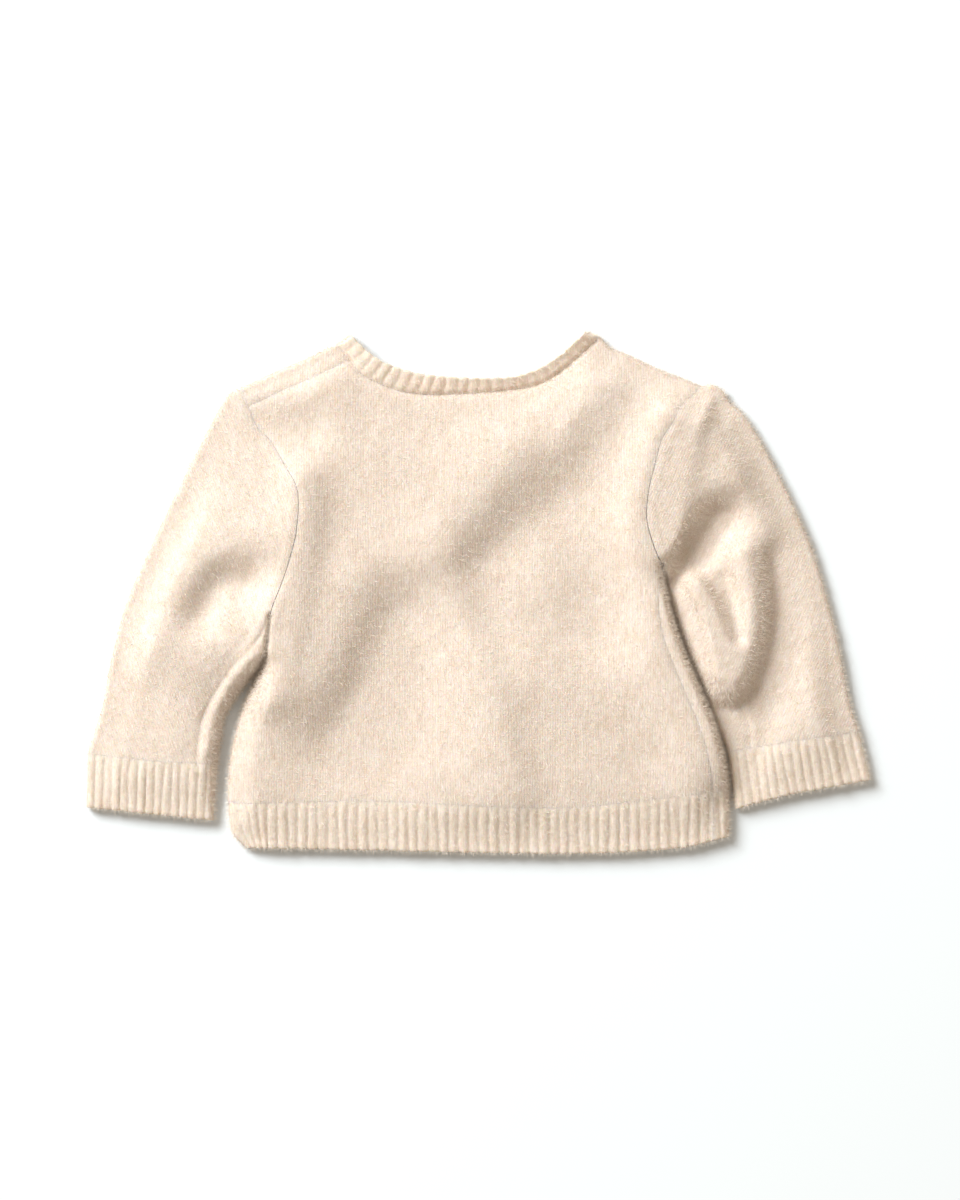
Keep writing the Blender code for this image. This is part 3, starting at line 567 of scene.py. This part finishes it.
PANEL_LENGTH, PANEL_WIDTH = 236, 250  # about, to space the points
BODY_PULL = 0.6  # a side border bends the columns over this share of the width
ARMPIT = 0.44  # share of a side border that lies below the armpit
NECK_START, NECK_END = 0.22, 0.80  # shares of the top border between which the neck lies

back = bmesh.new()
back_u = shares(PANEL_WIDTH, STEP, near_fold=True, marks=(NECK_START, NECK_END))
back_v = shares(PANEL_LENGTH, STEP, marks=(ARMPIT,))
back_neck = stretch(curves["back_neck_seam"], roll_on_neck)
back_plan = stretched_between(
    border(back_u, (stretch(curves["hem_line"], 0, right_seam_on_hem), 1.0)),
    border(back_u, (shoulder_seam[::-1], NECK_START), (back_neck, NECK_END), (right_shoulder, 1.0)),
    border(back_v, (left_side[::-1], ARMPIT),
           (stretch(curves["left_armhole"], roll_on_armhole)[::-1], 1.0)),
    border(back_v, (right_side_seam[::-1], ARMPIT), (curves["right_armhole"][::-1], 1.0)),
    back_u, back_v, BODY_PULL)
back_side = np.ones(back_plan.shape[:2])
back_side[back_v <= ARMPIT + 1e-9, 0] = 0
lay_patch(back, back_plan, back_side)

# the strip that goes on underneath at the left
wrap_v = back_v[back_v <= ARMPIT + 1e-9]
wrap_u = shares(SIDE_ROLL_LEFT, STEP, near_fold=True)
wrap_plan = stretched_between(
    border(wrap_u, (stretch(curves["hem_line"], 0, left_seam_on_hem), 1.0)),
    np.repeat(left_side[:1], len(wrap_u), axis=0),
    border(wrap_v / ARMPIT, (left_side[::-1], 1.0)),
    border(wrap_v / ARMPIT, (left_side_seam[::-1], 1.0)),
    wrap_u, wrap_v / ARMPIT)
wrap_side = np.full(wrap_plan.shape[:2], -1.0)
wrap_side[:, 0] = 0
lay_patch(back, wrap_plan, wrap_side)
back_panel = made_piece("back_panel", back, body_wool)
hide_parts("back_panel")

# ---------------------------------------------------------------- front panel
# The front of the body is a second panel of the same knit, cut a little lower at the neck. It
# lies underneath, rolls over the left shoulder and goes round the right side, so that its seams
# with the back show on top there.

FRONT_NECK_SEAM = smooth_curve([
    (-75.5, 132), (-70, 117), (-56, 99), (-32, 87.5), (-6, 84.5), (20, 87.5), (44, 99),
    (58, 117), (64.5, 135.5)])
FRONT_NECK_START, FRONT_NECK_END = 0.20, 0.80

front = bmesh.new()
front_u = shares(PANEL_WIDTH, PLAIN_STEP, far_fold=True, marks=(FRONT_NECK_START, FRONT_NECK_END))
front_v = shares(PANEL_LENGTH, PLAIN_STEP, far_fold=True, marks=(ARMPIT,))
front_plan = stretched_between(
    border(front_u, (stretch(curves["hem_line"], left_seam_on_hem), 1.0)),
    border(front_u, (left_shoulder[::-1], FRONT_NECK_START), (FRONT_NECK_SEAM, FRONT_NECK_END),
           (right_shoulder, 1.0)),
    border(front_v, (left_side_seam[::-1], ARMPIT), (curves["left_armhole"][::-1], 1.0)),
    border(front_v, (right_side[::-1], ARMPIT), (curves["right_armhole"][::-1], 1.0)),
    front_u, front_v, BODY_PULL)
front_side = np.full(front_plan.shape[:2], -1.0)
front_side[front_v <= ARMPIT + 1e-9, -1] = 0
front_side[-1, front_u <= FRONT_NECK_START + 1e-9] = 0
lay_patch(front, front_plan, front_side)

# round the right side, on top
turned_v = front_v[front_v <= ARMPIT + 1e-9] / ARMPIT
turned_u = shares(SIDE_ROLL_RIGHT, ROLL_STEP, far_fold=True)
turned_plan = stretched_between(
    border(turned_u, (stretch(curves["hem_line"], right_seam_on_hem), 1.0)),
    np.repeat(right_side[:1], len(turned_u), axis=0),
    border(turned_v, (right_side_seam[::-1], 1.0)),
    border(turned_v, (right_side[::-1], 1.0)),
    turned_u, turned_v)
turned_side = np.ones(turned_plan.shape[:2])
turned_side[:, -1] = 0
lay_patch(front, turned_plan, turned_side)

# over the left shoulder, on top
over_u = front_u[front_u <= FRONT_NECK_START + 1e-9] / FRONT_NECK_START
over_v = shares(SHOULDER_ROLL, ROLL_STEP, far_fold=True)
over_plan = stretched_between(
    border(over_u, (shoulder_seam[::-1], 1.0)),
    border(over_u, (left_shoulder[::-1], 1.0)),
    border(over_v, (stretch(curves["left_armhole"], 0, roll_on_armhole)[::-1], 1.0)),
    border(over_v, (stretch(curves["back_neck_seam"], 0, roll_on_neck)[::-1], 1.0)),
    over_u, over_v)
over_side = np.ones(over_plan.shape[:2])
over_side[-1] = 0
lay_patch(front, over_plan, over_side)
front_panel = made_piece("front_panel", front, body_wool)
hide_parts("front_panel")

# ---------------------------------------------------------------- sleeves
# Each sleeve is knitted flat in the same wool and closed by one underarm seam, which has come
# to lie on top beside the inner edge. The sleeves lie in their own folds, with a deep pit
# beside the right armhole.

SLEEVE_LENGTH, SLEEVE_WIDTH = 210, 118  # about, to space the points
SEAM_STRIP_WIDTH = 9  # between the underarm seam and the inner edge
SEAM_STRIP_STEP = 1.5
SLEEVES = {
    # the angle of the wales to the garment's own, and the borders in plan
    "left": (math.radians(-21), "left_outer", "left_inner", "left_armhole",
             left_underarm_seam, [(-207, -85.5), (-174, -89), (-138.5, -91)]),
    "right": (math.radians(24), "right_outer", "right_inner", "right_armhole",
              right_underarm_seam, [(201.7, -74), (168, -78.5), (132, -84.5)]),
}
for which, (lean, outer, inner, armhole, underarm, cuff_points) in SLEEVES.items():
    cuff_line = smooth_curve(cuff_points)
    outer_edge = stretch(curves[outer], 0, meeting(curves[outer], cuff_points[0]))[::-1]
    inner_edge = stretch(curves[inner], 0, meeting(curves[inner], cuff_points[-1]))[::-1]
    seam_on_cuff = meeting(cuff_line, underarm[-1])
    seam_end = at_length(cuff_line, seam_on_cuff)
    underarm = np.vstack([stretch(underarm, 0, meeting(underarm, seam_end) - 1), seam_end])[::-1]
    shape = bmesh.new()
    v = shares(SLEEVE_LENGTH, STEP)
    for side, step, far_fold, on_cuff, far_edge in (
        (1, STEP, False, stretch(cuff_line, 0, seam_on_cuff), underarm),
        (-1, PLAIN_STEP, True, cuff_line, inner_edge),
    ):
        u = shares(SLEEVE_WIDTH, step, near_fold=True, far_fold=far_fold)
        plan = stretched_between(
            border(u, (on_cuff, 1.0)), border(u, (curves[armhole], 1.0)),
            border(v, (outer_edge, 1.0)), border(v, (far_edge, 1.0)), u, v)
        sides = np.full(plan.shape[:2], float(side))
        sides[:, 0] = 0
        if far_fold:
            sides[:, -1] = 0
        lay_patch(shape, plan, sides)
    u = shares(SEAM_STRIP_WIDTH, SEAM_STRIP_STEP, far_fold=True)
    plan = stretched_between(
        border(u, (stretch(cuff_line, seam_on_cuff), 1.0)),
        np.repeat(curves[armhole][-1:], len(u), axis=0),
        border(v, (underarm, 1.0)), border(v, (inner_edge, 1.0)), u, v)
    sides = np.ones(plan.shape[:2])
    sides[:, -1] = 0
    lay_patch(shape, plan, sides)
    sleeve = made_piece(f"sleeve_{which}", shape,
                        wool(f"felted_knit_sleeve_{which}", CREAM, wale_turn=lean))
    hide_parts(f"sleeve_{which}")

# ---------------------------------------------------------------- hem rib
# The hem is a band of 1x1 rib, knitted on, one for the back and one for the front. The ribs
# stand up round and run down to a cast-off edge that is a little wavy.

HEM_RIBS = 50
RIB_COLUMNS = 8  # points across one rib
RIB_RAISE = 0.65  # how far a rib stands out of the band
RIB_UNEVEN = 0.30  # and how much that differs from rib to rib
RIB_WANDER = 0.20  # how far a rib strays to its sides, in ribs
UNDER_RAISE = 0.35  # the underside is pressed flat on the table
RIB_RUN_IN = 2.6  # the ribs rise over this distance from the seam line
EDGE_ROUND = 1.3  # radius of the free edge
CORNER_PULL = 0.15  # how near to a rounded corner the ribs bend with it


def rib_shares(ribs, length, start, end, near_fold, far_fold):
    """Shares of the way along a band, a few to each rib, closer together round a folded edge."""
    turn = FOLD_TURN / length
    step = 1 / (ribs * RIB_COLUMNS)
    low = start + (HALF / length if near_fold else 0.3 * step)
    high = end - (HALF / length if far_fold else 0.3 * step)
    marks = np.arange(math.ceil(low / step), math.floor(high / step) + 1) * step
    first = start + turn if near_fold else np.array([start])
    last = end - turn[::-1] if far_fold else np.array([end])
    return np.r_[first, marks, last]


def unlike(number, seed):
    """A number from -1 to 1 that differs from rib to rib."""
    return math.sin(number * 12.9898 + seed * 78.233) * 43758.5453 % 2 - 1


def rib_patch(shape, lines, near_edge, far_edge, at, ribs, side, near_fold, far_fold, seed,
              squeeze=((0, 1), (0, 1)), stand=0.0):
    """Lays one layer of a ribbed band: lines are its seam line and its free edge. squeeze says
    which share of the free edge each share of the seam line runs down to, and stand is how far
    the band rises on its way to the free edge."""
    seam_line, free_edge = lines
    width = np.linalg.norm(at_length(seam_line, 30) - at_length(free_edge, 30))
    v = np.r_[np.linspace(0, 1 - EDGE_ROUND / width, round(width / 1.6) + 1),
              1 - EDGE_ROUND * (1 - np.sin(np.radians([30, 60, 78, 90]))) / width]
    start, end = at[0], at[-1]
    u = (at - start) / (end - start)
    plan = stretched_between(
        border(at, (seam_line, 1.0)), border(np.interp(at, *squeeze), (free_edge, 1.0)),
        border(v, (near_edge, 1.0)), border(v, (far_edge, 1.0)), u, v,
        CORNER_PULL if end - start > 0.5 and squeeze[0][1] < 1 else 1.0)
    along = v * width
    wander = RIB_WANDER * np.array([
        [noise.noise(Vector((share * ribs * 0.6, down / 22, seed))) for share in at]
        for down in along])
    place = at[None] * ribs + wander * np.clip(np.minimum(at, 1 - at) * ribs, 0, 1)
    height = np.array([1 + RIB_UNEVEN * unlike(n, seed) for n in range(ribs + 2)])
    wave = np.abs(np.sin(math.pi * place)) ** 0.7 * height[np.floor(place).astype(int)]
    from_edge = np.clip((width - along) / EDGE_ROUND, 0, 1)
    shown = np.clip(along / RIB_RUN_IN, 0, 1)
    shown = (shown * shown * (3 - 2 * shown))[:, None]
    raise_by = RIB_RAISE if side > 0 else UNDER_RAISE
    raised = raise_by * (wave - 0.45) * shown + stand * (along / width)[:, None]
    raised -= (EDGE_ROUND * (1 - np.sqrt(1 - (1 - from_edge) ** 2)))[:, None]
    # ribs stand a little proud of the grooves at the cast-off edge, and wander on the way
    down_way = free_edge[len(free_edge) // 2] - seam_line[len(seam_line) // 2]
    down_way = down_way / np.linalg.norm(down_way)
    proud = (wave - 0.7) * 0.55 * np.clip(along / width * 3 - 2, 0, 1)[:, None]
    inside = np.clip(np.minimum(at, 1 - at) * 25, 0, 1)
    plan = plan + (proud * inside[None])[..., None] * down_way
    sides = np.full(plan.shape[:2], float(side))
    if near_fold:
        sides[:, 0] = 0
    if far_fold:
        sides[:, -1] = 0
    lay_patch(shape, plan, sides, raised)


def rib_wool(name, colour):
    """The same wool in rib: marl, painted shade in the stitch grooves and fur, with the wales' bumps
    made faint.
    """
    return wool(name, colour, depth=0.08)


HEM_CORNER = ((0, 0.08, 1), (0, 0.045, 1))  # the ribs run straight down but for the left corner
rib_knit = rib_wool("rib_knit", (0.85, 0.738, 0.655))
hem_lines = (curves["hem_line"], curves["hem_edge"])
hem_length = lengths_along(curves["hem_line"])[-1]
left_seam_share = left_seam_on_hem / hem_length
right_seam_share = right_seam_on_hem / hem_length
left_hem_fold = stretch(curves["left_side"], meeting(curves["left_side"], OUTLINES["hem_line"][0]))
right_hem_fold = stretch(curves["right_side"],
                         meeting(curves["right_side"], OUTLINES["hem_line"][-1]))


def across_hem(share):
    """The straight way down the hem band at a share of its length."""
    return np.array([at_length(line, share * lengths_along(line)[-1]) for line in hem_lines])


for name, parts in {
    "hem_rib_back": (
        (0.0, right_seam_share, 1, True, False), (0.0, left_seam_share, -1, True, False)),
    "hem_rib_front": (
        (left_seam_share, 1.0, -1, False, True), (right_seam_share, 1.0, 1, False, True)),
}.items():
    shape = bmesh.new()
    for start, end, side, near_fold, far_fold in parts:
        at = rib_shares(HEM_RIBS, hem_length, start, end, near_fold, far_fold)
        rib_patch(shape, hem_lines,
                  left_hem_fold if near_fold else across_hem(start),
                  right_hem_fold if far_fold else across_hem(end),
                  at, HEM_RIBS, side, near_fold, far_fold, 3, squeeze=HEM_CORNER)
    band = made_piece(name, shape, rib_knit)
    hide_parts(name)

# ---------------------------------------------------------------- cuffs
# Each cuff is a tube of 1x1 rib, knitted on to the end of the sleeve.

CUFF_RIBS = 15
for which, (_, outer, inner, _, _, cuff_points) in SLEEVES.items():
    lines = (smooth_curve(cuff_points), curves[f"{which}_cuff_edge"])
    outer_fold = stretch(curves[outer], meeting(curves[outer], cuff_points[0]))
    inner_fold = stretch(curves[inner], meeting(curves[inner], cuff_points[-1]))
    length = lengths_along(lines[0])[-1]
    at = rib_shares(CUFF_RIBS, length, 0, 1, True, True)
    shape = bmesh.new()
    for side in (1, -1):
        rib_patch(shape, lines, outer_fold, inner_fold, at, CUFF_RIBS, side, True, True, seed=5)
    cuff = made_piece(f"cuff_{which}", shape, rib_knit)
    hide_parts(f"cuff_{which}")

# ---------------------------------------------------------------- neckband
# A narrow band of 1x1 rib is linked round the whole neck opening.

NECK_RIBS = 24
NECK_STAND = 2.8  # the back of the band rises from its seam to its edge
FRONT_NECK_EDGE = smooth_curve([
    (-68, 137), (-62, 121), (-49.5, 105.5), (-29, 96), (-6, 93.3), (17, 96), (38, 105.5),
    (50.5, 121), (57, 138.5)])
left_neck_fold = stretch(curves["left_top"], 0, meeting(curves["left_top"], left_neck_point))[::-1]
right_neck_fold = stretch(curves["right_top"], 0,
                          meeting(curves["right_top"], right_neck_point))[::-1]
shape = bmesh.new()
for side, lines, seed in ((1, (curves["back_neck_seam"], curves["back_neck_edge"]), 1),
                          (-1, (FRONT_NECK_SEAM, FRONT_NECK_EDGE), 2)):
    at = rib_shares(NECK_RIBS, lengths_along(lines[0])[-1], 0, 1, True, True)
    rib_patch(shape, lines, left_neck_fold, right_neck_fold, at, NECK_RIBS, side, True, True, seed,
              stand=NECK_STAND if side > 0 else 0.0)
neckband = made_piece("neckband", shape, rib_knit)
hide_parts("neckband")

# ---------------------------------------------------------------- nap
# Felting has raised the wool's own fibres: single curved hairs 2 to 3 mm long that lie over the
# knit every way, and stand out as a soft halo along the edges.

HAIR_LENGTH = 2.8
HAIR_WIDTH = 0.11
HAIR_BOW = 0.8  # how far a hair bends on its way
LEAN = (0.55, 1.45)  # least and most lean away from the surface's normal, in radians
HAIRS_PER_MM2 = (0.75, 7.0)  # on the flat, and along folded edges

hair_shape = bmesh.new()
bmesh.ops.create_grid(hair_shape, x_segments=1, y_segments=2, size=0.5)
for vert in hair_shape.verts:
    up = vert.co.y + 0.5
    width = HAIR_WIDTH * (1.15 - up)
    vert.co = Vector((vert.co.x * width, HAIR_BOW * up * up, HAIR_LENGTH * up)) * MM
bmesh.ops.remove_doubles(hair_shape, verts=hair_shape.verts, dist=HAIR_WIDTH * 0.3 * MM)
hair_mesh = bpy.data.meshes.new("hair")
hair_shape.to_mesh(hair_mesh)
hair_shape.free()
hair = bpy.data.objects.new("hair", hair_mesh)

hair_wool = bpy.data.materials.new("hair_wool")
hair_wool.use_nodes = True
hair_shader = hair_wool.node_tree.nodes["Principled BSDF"]
hair_shader.inputs["Base Color"].default_value = (0.94, 0.87, 0.79, 1)
hair_shader.inputs["Roughness"].default_value = 0.7
hair_shader.inputs["Sheen Weight"].default_value = 0.4
hair_mesh.materials.append(hair_wool)


UNDERSIDE = -0.2  # no hairs where the surface faces the table more than this
FLAT, FOLDED = 0.9, 0.55  # how far up the surface faces on the flat, and along a folded edge


def scattering(density, seed):
    """Nodes that scatter hairs over a surface, but for the side that is pressed on the table."""
    tree = bpy.data.node_groups.new("raised nap", "GeometryNodeTree")
    tree.interface.new_socket("Geometry", in_out="INPUT", socket_type="NodeSocketGeometry")
    tree.interface.new_socket("Geometry", in_out="OUTPUT", socket_type="NodeSocketGeometry")
    add, join = tree.nodes.new, tree.links.new
    surface, result = add("NodeGroupInput"), add("NodeGroupOutput")
    normal, apart, facing = add("GeometryNodeInputNormal"), add("ShaderNodeSeparateXYZ"), add(
        "FunctionNodeCompare")
    join(normal.outputs[0], apart.inputs[0])
    join(apart.outputs["Z"], facing.inputs["A"])
    facing.inputs["B"].default_value = UNDERSIDE
    thickly = add("ShaderNodeMapRange")
    thickly.inputs["From Min"].default_value = FLAT
    thickly.inputs["From Max"].default_value = FOLDED
    thickly.inputs["To Min"].default_value = density[0] * 1e6
    thickly.inputs["To Max"].default_value = density[1] * 1e6
    join(apart.outputs["Z"], thickly.inputs["Value"])
    scatter = add("GeometryNodeDistributePointsOnFaces")
    join(thickly.outputs[0], scatter.inputs["Density"])
    scatter.inputs["Seed"].default_value = seed
    join(surface.outputs[0], scatter.inputs["Mesh"])
    join(facing.outputs[0], scatter.inputs["Selection"])
    lean = add("FunctionNodeRandomValue")
    lean.data_type = "FLOAT_VECTOR"
    lean.inputs["Min"].default_value = (LEAN[0], 0, 0)
    lean.inputs["Max"].default_value = (LEAN[1], 0, 2 * math.pi)
    lean.inputs["Seed"].default_value = seed + 1
    turn, tilt = add("FunctionNodeRotateRotation"), add("FunctionNodeEulerToRotation")
    turn.rotation_space = "LOCAL"
    join(lean.outputs[0], tilt.inputs[0])
    join(scatter.outputs["Rotation"], turn.inputs["Rotation"])
    join(tilt.outputs[0], turn.inputs["Rotate By"])
    size = add("FunctionNodeRandomValue")
    size.inputs[2].default_value, size.inputs[3].default_value = 0.5, 1.25
    size.inputs["Seed"].default_value = seed + 2
    one = add("GeometryNodeObjectInfo")
    one.inputs["Object"].default_value = hair
    place, real = add("GeometryNodeInstanceOnPoints"), add("GeometryNodeRealizeInstances")
    join(scatter.outputs["Points"], place.inputs["Points"])
    join(one.outputs["Geometry"], place.inputs["Instance"])
    join(turn.outputs[0], place.inputs["Rotation"])
    join(size.outputs[1], place.inputs["Scale"])
    join(place.outputs[0], real.inputs[0])
    join(real.outputs[0], result.inputs[0])
    return tree


for seed, (name, surface) in enumerate(outer_surfaces.items()):
    nap = bpy.data.objects.new(name + "_nap", surface)
    bpy.context.scene.collection.objects.link(nap)
    raising = nap.modifiers.new("raised nap", "NODES")
    raising.node_group = scattering(HAIRS_PER_MM2, 10 * seed)
    bpy.context.view_layer.update()
    whole = nap.evaluated_get(bpy.context.evaluated_depsgraph_get())
    nap.data = bpy.data.meshes.new_from_object(whole)
    nap.modifiers.clear()
    for vert in nap.data.vertices:
        vert.co.z = max(vert.co.z, 0)
    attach(nap, "root")
